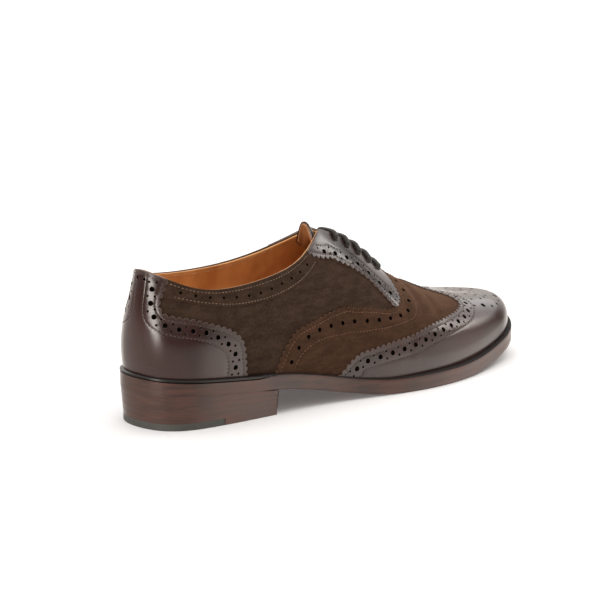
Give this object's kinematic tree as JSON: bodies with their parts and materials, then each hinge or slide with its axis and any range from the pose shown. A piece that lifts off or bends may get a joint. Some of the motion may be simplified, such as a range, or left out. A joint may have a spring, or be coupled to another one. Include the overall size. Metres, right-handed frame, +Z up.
{
  "type": "wingtip oxford shoe",
  "caption": "Low lace-up dress shoe for a right foot with a perforated wing-shaped toe cap, heel counter, suede quarters, welted leather sole and stacked heel.",
  "frame": {"origin": "on the floor under the middle of the sole's bounding box", "axes": "+X towards the toe, +Y towards the inner (medial) side of the right foot, +Z up"},
  "size_m": [0.3012, 0.1072, 0.1031],
  "materials": {
    "burnished_leather": "burnished, polished calf",
    "suede": "napped suede",
    "lining_leather": "smooth satin lining leather",
    "sole_leather": "burnished, waxed edge",
    "welt_leather": "waxed, glossy",
    "heel_rubber": "matt rubber",
    "lace_cotton": "waxed round cotton"
  },
  "bodies": {
    "root": {"outsole": "sole_leather", "welt": "welt_leather", "heel_lifts": "sole_leather", "heel_top_piece": "sole_leather", "heel_rubber_tip": "heel_rubber", "insole": "lining_leather", "upper": "suede", "tongue": "lining_leather", "vamp": "suede", "wing_cap": "burnished_leather", "heel_counter": "burnished_leather", "eyestay_lateral": "burnished_leather", "eyestay_medial": "burnished_leather", "collar_band_lateral": "suede", "collar_band_medial": "suede", "lace_bar_1": "lace_cotton", "lace_bar_2": "lace_cotton", "lace_bar_3": "lace_cotton", "lace_bar_4": "lace_cotton", "lace_bar_5": "lace_cotton"}
  },
  "joints": []
}
